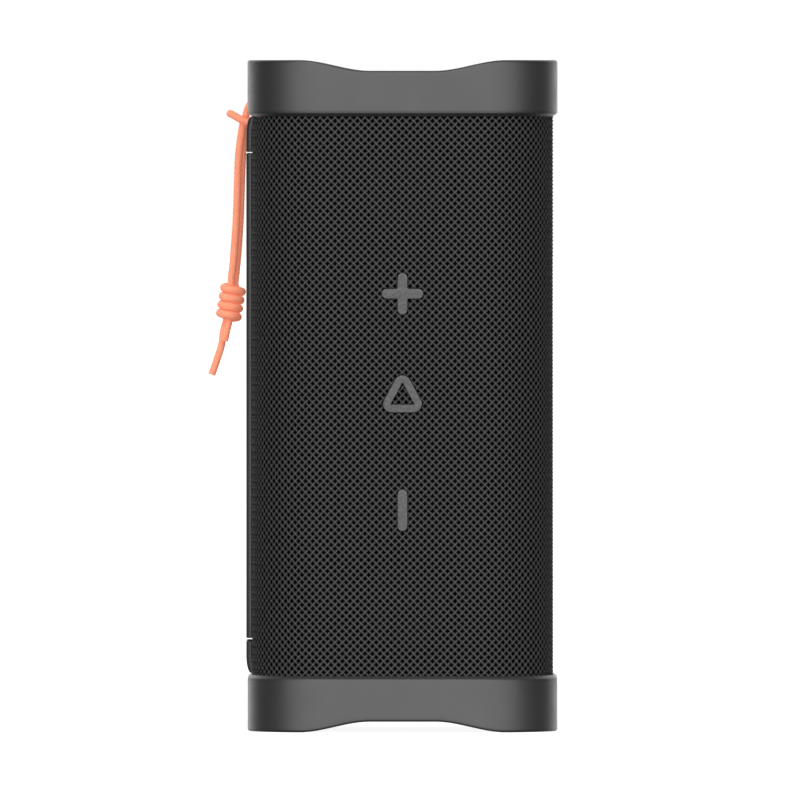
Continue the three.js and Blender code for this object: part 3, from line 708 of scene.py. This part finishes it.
def rounded_box(x0, x1, y0, y1, z0, z1, radius):
    """A box with its edges along X rounded, as points and faces."""
    loop = rounded_loop(y0, y1, z0, z1, radius)
    return loft([[(x, y, z) for y, z in loop] for x in (x0, x1)], closed=False)


def pocket_cutter(back):
    """The lanyard pocket, from outside the tower in to its back."""
    return build_mesh("pocket", *rounded_box(-CAP_HALF - 3, back, -6.2, 6.2, 169.2, 180.6, 2))


def make_cap(side):
    rings = cap_rings()
    if side == "top":
        rings = [[(x, -y, HEIGHT - z) for x, y, z in ring] for ring in rings]
    name = f"{side}_end_cap"
    mesh = build_mesh(name, *loft(rings, closed=True))
    outward(mesh)
    cutters = []
    for i, (x, y) in screw_centres(side):
        floor = end_height(side, 12.9)
        mouth = end_height(side, 5)
        profile = [(0, mouth), (2.75, mouth), (2.75, floor), (1.4, floor), (1.4, floor * 2
                   - mouth), (0, floor * 2 - mouth)]
        cutters.append(turned_mesh(f"bore_{i}", profile, 32, centre=(x, y, 0)))
    if side == "top":
        cutters.append(pocket_cutter(-37.3))
    mesh = cut_away(mesh, cutters, 32)
    piece(f"{side}_cap_shell", mesh, "housing", "end_cap", name)


for side in ("top", "bottom"):
    make_cap(side)


def make_pocket_liner():
    """The boss behind the lanyard's pocket, with the pocket's walls and its rounded mouth."""
    outer = (8.4, 176.9, 183.0)
    loop = (arc(outer[0] - 1.5, outer[2] - 1.5, 1.5, 0, 90, 6)
            + arc(-outer[0] + 1.5, outer[2] - 1.5, 1.5, 90, 180, 6)
            + [(-outer[0], outer[1]), (outer[0], outer[1])])
    rounding = 1.2
    rings = [[(-40.4, y, z) for y, z in loop]]
    for x, shrink in arc(-35.4 - rounding, 0, rounding, 0, 90, 5)[::-1]:
        pull = rounding - shrink
        rings.append([(x, y * (1 - pull / outer[0]), z - max(0.0, z - 180) / 4 * pull)
                      for y, z in loop])
    mesh = build_mesh("pocket_boss", *loft(rings, closed=False))
    outward(mesh)
    mesh = cut_away(mesh, [pocket_cutter(-37.3)], 32)
    piece("lanyard_pocket_boss", mesh, "housing", "end_cap")


make_pocket_liner()


# ------------------------ cap screws
def make_screws():
    """Pan-head screws with a cross recess."""
    head, top, base = 2.4, 11.3, 12.7
    for side in ("top", "bottom"):
        for i, (x, y) in screw_centres(side):
            level = lambda h: end_height(side, h)
            profile = [(0, level(top)), (1.0, level(top + 0.02)), (1.7, level(top + 0.14)),
                       (2.15, level(top + 0.38)), (head, level(top + 0.75)),
                       (head, level(base - 0.1)), (head - 0.1, level(base)),
                       (1.2, level(base)), (1.2, level(17.6)), (0, level(18.3))]
            mesh = turned_mesh(f"screw_{side}_{i}", profile, 40, centre=(x, y, 0))
            turn = 0.35 + 0.8 * i
            half_width, half_length, taper = 0.4, 1.7, 0.22
            cutters = []
            for quarter in range(2):
                a = turn + quarter * math.pi / 2
                c, s = math.cos(a), math.sin(a)
                slot = []
                for z, w, l in ((level(top - 1), half_width, half_length),
                                (level(top + 0.85), half_width - taper / 2,
                                 half_length - taper * 2)):
                    slot.append([(x + c * u - s * v, y + s * u + c * v, z) for u, v in
                                 ((l, w), (-l, w), (-l, -w), (l, -w))])
                cutters.append(build_mesh("drive", *loft(slot, closed=False)))
            mesh = cut_away(mesh, cutters, 35)
            name = f"{side}_cap_screw_{i}"
            piece(f"{name}_head", mesh, "housing", "steel", name)


make_screws()


# ------------------------ passive radiators
def make_radiator(side):
    level = lambda h: end_height(side, h)
    frame_profile = ([(27.7, level(15.7)), (27.7, level(14.2))]
                     + [(x, level(y)) for x, y in arc(28.3, 14.2, 0.6, 180, 270, 4)]
                     + [(31.6, level(13.6)), (31.6, level(15.7))])
    piece(f"{side}_radiator_ring", turned_mesh("ring", frame_profile, 112, sharp_above=40),
          "housing", "black_plastic", f"{side}_radiator_frame")

    def half_roll(reach, foot, rise, middle=23.9, steps=16):
        """Half an ellipse across the surround. It runs inwards where reach is negative."""
        angles = [math.pi * i / steps for i in range(steps + 1)]
        return [(middle - reach * math.cos(a), level(foot - rise * math.sin(a))) for a in angles]

    roll, under = half_roll(3.45, 14.9, 2.6), half_roll(-2.85, 15.2, 2.1)
    flange_out = [(27.6, level(14.5)), (27.6, level(15.2))]
    flange_in = [(20.1, level(15.2)), (20.1, level(14.5))]
    piece(f"{side}_radiator_roll", turned_mesh("roll", roll + flange_out + under + flange_in,
                                               112, sharp_above=50),
          "housing", "black_rubber", f"{side}_radiator_surround")
    dish = [(0, 13.25), (5.5, 13.2), (6.6, 13.0), (7.3, 12.75), (8.2, 12.62), (9, 12.6),
            (16, 12.6), (16.9, 12.68), (18.2, 13.05), (19.3, 13.6), (19.8, 14.1), (20, 14.6),
            (20, 15.2), (9, 15.2), (8, 16.4), (0, 16.4)]
    piece(f"{side}_radiator_disc", turned_mesh("disc", [(r, level(h)) for r, h in dish], 112,
                                               sharp_above=50),
          f"{side}_radiator", "dark_steel", f"{side}_radiator_plate")


for side in ("top", "bottom"):
    make_radiator(side)


# ------------------------ glyph keys
def pill_outline(half_stroke, half_span, steps=14):
    return (arc(0, half_span - half_stroke, half_stroke, 0, 180, steps)
            + arc(0, -half_span + half_stroke, half_stroke, 180, 360, steps))


def plus_outline():
    stroke, span, fillet = GLYPH_HALF_STROKE, GLYPH_HALF_SPAN, 0.45
    arm = (arc(0, span - stroke, stroke, 0, 180, 14)
           + arc(-stroke - fillet, stroke + fillet, fillet, 0, -90, 4))
    loop = []
    for quarter in range(4):
        a = quarter * math.pi / 2
        loop += [(x * math.cos(a) - y * math.sin(a), x * math.sin(a) + y * math.cos(a))
                 for x, y in arm]
    return loop


def triangle_outline(radius, steps=12):
    """The rounded triangle: its corner points grown by a radius."""
    (lx, ly), (rx, ry), (tx, ty) = TRIANGLE
    lean = math.degrees(math.atan2(rx, ty - ry))
    return (arc(rx, ry, radius, -90, lean, steps) + arc(tx, ty, radius, lean, 180 - lean, steps)
            + arc(lx, ly, radius, 180 - lean, 270, steps))


def make_front_key(name, body, loops, z, *replaced, thick=2.6):
    mesh = plate(name, loops, FRONT, (0, 0, z), KEY_FACE, KEY_FACE - thick, 0.14)
    return piece(name, mesh, body, "glyph_rubber", *replaced)


make_front_key("volume_up_key_cap", "volume_up_key", [plus_outline()], UP_Z,
               "volume_up_button")
make_front_key("volume_down_key_cap", "volume_down_key",
               [pill_outline(GLYPH_HALF_STROKE, GLYPH_HALF_SPAN)], DOWN_Z,
               "volume_down_button")
make_front_key("action_key_cap", "action_key",
               [triangle_outline(TRIANGLE_OUTER), triangle_outline(TRIANGLE_INNER)[::-1]],
               ACTION_Z, "action_button", thick=0.35)


# ------------------------ woven fabric
def perimeter_point(s, half, corner):
    """(x, y, outward x, outward y) at a distance s round a rounded square, from the middle of
    its front towards +X."""
    side = half - corner
    quarter_length = 2 * side + corner * math.pi / 2
    s = s + side
    quarter = math.floor(s / quarter_length)
    s -= quarter * quarter_length
    if s < 2 * side:
        x, y, nx, ny = s - side, -half, 0.0, -1.0
    else:
        a = -math.pi / 2 + (s - 2 * side) / corner
        nx, ny = math.cos(a), math.sin(a)
        x, y = side + corner * nx, -side + corner * ny
    for _ in range(quarter % 4):
        x, y, nx, ny = -y, x, -ny, nx
    return x, y, nx, ny


def capsule_gap(x, z, half_stroke, half_span):
    """Distance outside an upright pill."""
    reach = half_span - half_stroke
    return math.hypot(x, z - min(reach, max(-reach, z))) - half_stroke


def triangle_gap(x, z):
    """Distance outside the plain triangle, negative inside."""
    nearest, inside = 1e9, True
    for (ax, az), (bx, bz) in zip(TRIANGLE, TRIANGLE[1:] + TRIANGLE[:1]):
        ex, ez, px, pz = bx - ax, bz - az, x - ax, z - az
        t = min(1.0, max(0.0, (px * ex + pz * ez) / (ex * ex + ez * ez)))
        nearest = min(nearest, math.hypot(px - ex * t, pz - ez * t))
        inside = inside and ex * pz - ez * px >= 0
    return -nearest if inside else nearest


def glyph_gap(x, z):
    """Distance outside the nearest glyph key."""
    up = min(capsule_gap(x, z - UP_Z, GLYPH_HALF_STROKE, GLYPH_HALF_SPAN),
             capsule_gap(z - UP_Z, x, GLYPH_HALF_STROKE, GLYPH_HALF_SPAN))
    down = capsule_gap(x, z - DOWN_Z, GLYPH_HALF_STROKE, GLYPH_HALF_SPAN)
    return min(up, down, triangle_gap(x, z - ACTION_Z) - TRIANGLE_OUTER)


def push_out(x, z, gap_of, wanted):
    """Moves a point along the gap's slope until its gap is the wanted one."""
    step = 0.02
    for _ in range(3):
        gap = gap_of(x, z)
        gx = (gap_of(x + step, z) - gap_of(x - step, z)) / (2 * step)
        gz = (gap_of(x, z + step) - gap_of(x, z - step)) / (2 * step)
        size = math.hypot(gx, gz) or 1.0
        x += gx / size * (wanted - gap)
        z += gz / size * (wanted - gap)
    return x, z


def used_only(points, faces):
    """Drops the points that no face uses."""
    used = sorted({c for face in faces for c in face})
    place = {c: i for i, c in enumerate(used)}
    return [points[c] for c in used], [tuple(place[c] for c in face) for face in faces]


CROWN, SHOULDER, DIP, CORNER_DROP = 0.2, 0.05, -0.14, -0.32  # strand heights, out of the sheet


def weave(inside, gap_of, wanted, search):
    """Crossing strands at 45 degrees as one sheet with open holes. inside says whether a
    crossing at (s, z) belongs, and points closer than wanted to an edge by gap_of are moved to
    it. Returns flat (s, z, height) points and faces."""
    pitch, half = STRAND_PITCH, STRAND_WIDTH / 2
    root = math.sqrt(0.5)
    low_s, high_s, low_z, high_z = search
    points, faces, moved = [], [], []
    index = {}
    reach_m = [int(math.floor(v / pitch)) for v in
               ((low_s + low_z) * root, (high_s + high_z) * root)]
    for m in range(reach_m[0], reach_m[1] + 2):
        for k in range(int((low_z - high_s) * root / pitch) - 1,
                       int((high_z - low_s) * root / pitch) + 2):
            u, v = m * pitch, k * pitch
            if not inside((u - v) * root, (u + v) * root):
                continue
            index[m, k] = len(points)
            over_u = (m + k) % 2 == 0
            for j in (-1, 0, 1):
                for i in (-1, 0, 1):
                    along = i if over_u else j
                    across = j if over_u else i
                    height = (CROWN if not along and not across else SHOULDER if not across
                              else DIP if not along else CORNER_DROP)
                    pu, pv = u + i * half, v + j * half
                    s, z = (pu - pv) * root, (pu + pv) * root
                    near = gap_of(s, z) < wanted
                    if near:
                        s, z = push_out(s, z, gap_of, wanted)
                        height = DIP
                    moved.append(near)
                    points.append((s, z, height))

    def add(*corners):
        if not all(moved[c] for c in corners):
            faces.append(corners)

    for (m, k), base in index.items():
        for a in (0, 1, 3, 4):
            add(base + a, base + a + 1, base + a + 4, base + a + 3)
        right, above = index.get((m + 1, k)), index.get((m, k + 1))
        if right is not None:
            for a in (0, 3):
                add(base + a + 2, right + a, right + a + 3, base + a + 5)
        if above is not None:
            for a in (0, 1):
                add(base + a + 6, base + a + 7, above + a + 1, above + a)
    return used_only(points, faces)


def woven_mesh(name, points, faces, place):
    """Puts flat (s, z, height) points in space by place, and keeps each one's lift."""
    mesh = build_mesh(name, [place(*point) for point in points], faces)
    lifts = [(height - CORNER_DROP) / (CROWN - CORNER_DROP) for _, _, height in points]
    mesh.attributes.new("lift", "FLOAT", "POINT").data.foreach_set("value", lifts)
    return mesh


def wrapped(s, z, height):
    """Bends a flat (s, z, height) point round the tower."""
    x, y, nx, ny = perimeter_point(s, FABRIC_HALF, FABRIC_CORNER)
    return x + nx * height, y + ny * height, z


def make_fabric():
    side = FABRIC_HALF - FABRIC_CORNER
    around = 8 * side + 2 * math.pi * FABRIC_CORNER
    window, key_reach = SPINE_HALF - 0.1, 8
    low_z, high_z = CAP_RISE - 0.2, HEIGHT - CAP_RISE + 0.2
    start, middle, end = -around / 4 + window, around / 4, around * 3 / 4 - window
    for word, low_s, high_s in (("front", start, middle), ("rear", middle, end)):
        front = word == "front"
        # The rear half also takes the crossings just past the seam, so that the halves meet.
        first_s = low_s if front else low_s - STRAND_PITCH
        inside = lambda s, z: first_s <= s < high_s and low_z < z < high_z
        gap = lambda s, z: glyph_gap(s, z) if front and abs(s) < key_reach else 9.0
        points, faces = weave(inside, gap, 0.15, (low_s - 3, high_s, low_z, high_z))
        name = f"grille_cloth_{word}"
        cloth = piece(name, woven_mesh(name, points, faces, wrapped), "housing", "fabric",
                      "grille_fabric")


make_fabric()


def make_insert():
    """The patch of the same cloth inside the triangle key. It runs on under the key's ring,
    and is cut as a rounded triangle."""
    hem = 1.75
    gap = lambda s, z: hem - triangle_gap(s, z - ACTION_Z)
    inside = lambda s, z: gap(s, z) > 0
    points, faces = weave(inside, gap, 0.0, (-8, 8, ACTION_Z - 8, ACTION_Z + 8))
    depth = FABRIC_HALF - 0.55
    mesh = woven_mesh("action_key_cloth", points, faces, lambda s, z, height:
                      (s, -depth - height, z))
    insert = piece("action_key_cloth", mesh, "action_key", "fabric", "action_button_insert")


# ------------------------ spine
def spine_end(rolled):
    """(height from the end, how far in the face is, how far in the edges are) from one end of a
    segment. A rolled end curls in along a quarter ellipse, and a plain one has a small round."""
    edge, rise, inset = 0.3, 4.9, 1.4
    steps = 12 if rolled else 4
    rows = []
    for i in range(steps + 1):
        a = math.pi / 2 * i / steps
        up, back = 1 - math.cos(a), 1 - math.sin(a)
        rows.append((rise * up, inset * back, 0.0) if rolled else
                    (edge * up, edge * back, edge * back))
    return rows


def spine_rows(low, high, roll_low, roll_high):
    """(height, how far in the face is, how far in the edges are) up a whole segment."""
    below, above = spine_end(roll_low), spine_end(roll_high)
    first, last = low + below[-1][0], high - above[-1][0]
    row_spacing = 6
    steps = max(2, round((high - low) / row_spacing))
    return ([(low + h, *inward) for h, *inward in below]
            + [(first + (last - first) * i / steps, 0.0, 0.0) for i in range(1, steps)]
            + [(high - h, *inward) for h, *inward in reversed(above)])


def spine_mesh(name, low, high, roll_low=False, roll_high=False, back=SPINE_BACK):
    """A strip whose long edges are rounded and curl in again beside the cloth."""
    rings = []
    radius, undercut, root = 1.42, 0.35, FABRIC_HALF - 0.1
    for z, sink, trim in spine_rows(low, high, roll_low, roll_high):
        out, half = SPINE_OUTER - sink, SPINE_HALF - trim
        r = min(radius, out - root - 0.02)
        flank = out - r - root
        curl = [(root + flank * math.sin(a), half - undercut * (1 - math.sin(a)))
                for a in (0, 0.3, 0.7, 1.1)]
        edge = [(back, half - undercut), *curl, *arc(out - r, half - r, r, 90, 0, 7)]
        loop = [(-x, -y) for x, y in edge]
        loop += [(-out, y) for y in (-half + 4, -6, 6, half - 4)]
        loop += [(-x, y) for x, y in reversed(edge)]
        rings.append([(x, y, z) for x, y in loop])
    mesh = build_mesh(name, *loft(rings, closed=False))
    outward(mesh)
    finish_shading(mesh, 38)
    return mesh


def key_bore(z, radius, flare, floor):
    """A cutter for a round key's hole, with a shallow dish around its mouth."""
    out = SPINE_OUTER
    profile = [(0, -out - 2), (flare + 0.9, -out - 2), (flare, -out + 0.02), (radius + 0.35,
               -out + 0.45), (radius, -out + 0.6), (radius, -floor), (0, -floor)]
    return turned_mesh("bore", profile, 64, axis="x", centre=(0, 0, z))


def make_spine():
    low, high = heights("spine_panel")
    mesh = spine_mesh("spine_strip", low, high)
    key_z = {key: middle_z(f"{key}_button") for key in ("power", "pairing")}
    cutters = [key_bore(z, 4.8, 6.4, 30) for z in key_z.values()]
    lens_z = middle_z("battery_light_bar")
    cutters.append(plate("slot", [pill_outline(1.5, 6.3)], SIDE, (0, 0, lens_z), 50, 30, 0.01))
    cutters.append(build_mesh("hollow", *rounded_box(-SPINE_SKIN_BACK, -39, -14.5, 14.5,
                                                     low + 1.5, high - 1.5, 1)))
    piece("spine_strip", cut_away(mesh, cutters, 38), "housing", "spine", "spine_panel")

    low, high = heights("spine_top_plate")
    mesh = cut_away(spine_mesh("spine_top_cover", low - 0.1, high + 0.35, roll_high=True),
                    [pocket_cutter(-38.2)], 38)
    piece("spine_top_cover", mesh, "housing", "spine", "spine_top_plate")

    for key, z in key_z.items():
        face = SPINE_OUTER - 0.15
        profile = [(0, -face + 0.22), (2.2, -face + 0.16), (3.4, -face + 0.04), (4.0, -face),
                   (4.3, -face + 0.06), (4.48, -face + 0.3), (4.5, -face + 0.6), (4.5, -41.6),
                   (5.6, -41.6), (5.6, -40.9), (0, -40.9)]
        mesh = turned_mesh(f"{key}_key_cap", profile, 64, axis="x", centre=(0, 0, z),
                           sharp_above=40)
        piece(f"{key}_key_cap", mesh, f"{key}_key", "glyph_rubber", f"{key}_button")

    lens = plate("battery_light_lens", [pill_outline(1.2, 6.0)], SIDE, (0, 0, lens_z),
                 SPINE_OUTER - 0.1, 41.2, 0.15)
    piece("battery_light_lens", lens, "housing", "light_lens", "battery_light_bar")
    mark_keys(key_z)


def arc_stroke(radius, start, end, width, steps=24):
    """A closed outline of a curved stroke with square ends."""
    outer = arc(0, 0, radius + width / 2, start, end, steps)
    inner = arc(0, 0, radius - width / 2, start, end, steps)[::-1]
    return outer + inner


def mark_keys(key_z):
    """Generic raised marks: a broken ring with a bar, and nested arcs over a dot."""
    face = SPINE_OUTER - 0.15
    bar = [(-0.16, 0.4), (0.16, 0.4), (0.16, 2.1), (-0.16, 2.1)]
    dot = arc(0, -1.3, 0.32, 0, 345, 23)
    shift = lambda loop, dy: [(x, y + dy) for x, y in loop]
    marks = {
        "power": [arc_stroke(1.6, 125, 415, 0.32, 36), bar],
        "pairing": [shift(arc_stroke(1.5, 50, 130, 0.32), -1.3),
                    shift(arc_stroke(2.6, 50, 130, 0.32), -1.3), dot],
    }
    for key, loops in marks.items():
        mesh = plate(f"{key}_mark", loops, SIDE, (0, 0, key_z[key]), face + 0.02, face - 0.6,
                     0.03, bevel_steps=1)
        piece(f"{key}_mark", mesh, f"{key}_key", "light_lens")


make_spine()
make_insert()


# ------------------------ port door
def make_port_door():
    low, high = heights("port_door")
    groove = 0.4  # more than in CAD, so that light from behind shows through it
    mesh = spine_mesh("port_flap_skin", low, high - groove, roll_low=True, back=41.7)
    pull = plate("pull", [[(-5, 0.9), *arc(5, 0.3, 0.6, 90, -90, 8), *arc(-5, 0.3, 0.6, 270, 90,
                 8)]], SIDE, (0, 0, high - 1.6), 50, SPINE_OUTER - 0.45, 0.01)
    piece("port_flap_skin", cut_away(mesh, [pull], 38), "port_flap", "black_rubber",
          "port_door")
    half_wide, half_high, corner, wall = 10.5, 2.9, 2, 1.2
    outer, inner = (rounded_loop(thin - half_wide, half_wide - thin, thin - half_high,
                                 half_high - thin, corner) for thin in (0, wall))
    port_z = 21.3
    plug = plate("port_flap_plug", [outer, inner[::-1]], SIDE, (0, 0, port_z), 41.65, 40.35,
                 0.25)
    piece("port_flap_plug", plug, "port_flap", "black_rubber")


make_port_door()


# ------------------------ studio
def stage_material(name, colour, glow):
    return nodes_of(name, Base_Color=(*colour, 1), Roughness=0.9, Emission_Color=(1, 1, 1, 1),
                    Emission_Strength=glow)[0]


def make_floor():
    bpy.ops.mesh.primitive_circle_add(vertices=96, radius=20, fill_type="NGON")
    floor = bpy.context.object
    floor.name = "studio_floor"
    floor.data.materials.append(stage_material("pale_floor", (0.3, 0.3, 0.3), 0.92))
    bpy.ops.mesh.primitive_uv_sphere_add(segments=64, ring_count=32, radius=25)
    dome = bpy.context.object
    dome.name = "studio_dome"
    dome.data.materials.append(stage_material("pale_dome", (0, 0, 0), 1.0))
    for backdrop in (floor, dome):
        backdrop.visible_diffuse = False
        backdrop.visible_glossy = False
    dome.visible_transmission = False
    dome.visible_shadow = False


def make_world():
    """A bright wide source in front, a white wall behind, and dark flanks between them. The
    light falls off below the horizon, where a thin pale band runs all round."""
    world = bpy.data.worlds.new("studio")
    bpy.context.scene.world = world
    world.use_nodes = True
    tree = world.node_tree
    background = tree.nodes["Background"]
    coords = tree.nodes.new("ShaderNodeTexCoord")
    split = tree.nodes.new("ShaderNodeSeparateXYZ")
    tree.links.new(coords.outputs["Generated"], split.inputs["Vector"])

    def combined(operation, first, second):
        node = tree.nodes.new("ShaderNodeMath")
        node.operation = operation
        tree.links.new(first, node.inputs[0])
        if isinstance(second, float):
            node.inputs[1].default_value = second
        else:
            tree.links.new(second, node.inputs[1])
        return node.outputs["Value"]

    def level_along(axis, stops, strength):
        """Strength by direction: stops are (direction's component along the axis, share)."""
        share = tree.nodes.new("ShaderNodeMapRange")
        share.inputs["From Min"].default_value = -1
        tree.links.new(split.outputs[axis], share.inputs["Value"])
        node = tree.nodes.new("ShaderNodeValToRGB")
        elements = node.color_ramp.elements
        while len(elements) < len(stops):
            elements.new(0.5)
        for element, (place, value) in zip(elements, stops):
            element.position = (place + 1) / 2
            element.color = (value, value, value, 1)
        tree.links.new(share.outputs["Result"], node.inputs["Fac"])
        return combined("MULTIPLY", node.outputs["Color"], strength)

    front_to_back = [(-1, 1.0), (-0.8, 0.88), (-0.62, 0.64), (-0.47, 0.34), (-0.3, 0.12),
                     (0, 0.04), (0.3, 0.03), (0.5, 0.08), (0.65, 0.2), (0.8, 0.31), (1, 0.33)]
    up_and_down = [(-1, 0.25), (-0.3, 0.7), (0, 1.0), (1, 1.0)]
    total = combined("MULTIPLY", level_along("Y", front_to_back, 3.1),
                     level_along("Z", up_and_down, 1.0))
    overhead = level_along("Z", [(-1, 0), (0.5, 0), (0.95, 1), (1, 1)], 0.35)
    horizon = level_along("Z", [(-0.11, 0), (-0.1, 1), (0.013, 1), (0.02, 0)], 0.25)
    total = combined("ADD", combined("ADD", total, overhead), horizon)
    tree.links.new(total, background.inputs["Strength"])
    background.inputs["Color"].default_value = (1, 1, 1, 1)


def make_lights():
    data = bpy.data.lights.new("top_softbox", "AREA")
    data.shape = "RECTANGLE"
    data.size, data.size_y = 0.9, 0.6
    data.energy = 4
    lamp = add_object("top_softbox", data)
    lamp.location = (-0.35, -0.75, 1.15)
    aim = Vector((0, 0, 0.1)) - lamp.location
    lamp.rotation_euler = aim.to_track_quat("-Z", "Y").to_euler()
    lamp.visible_camera = False


make_floor()
make_world()
make_lights()
bpy.context.scene.view_settings.view_transform = "Standard"
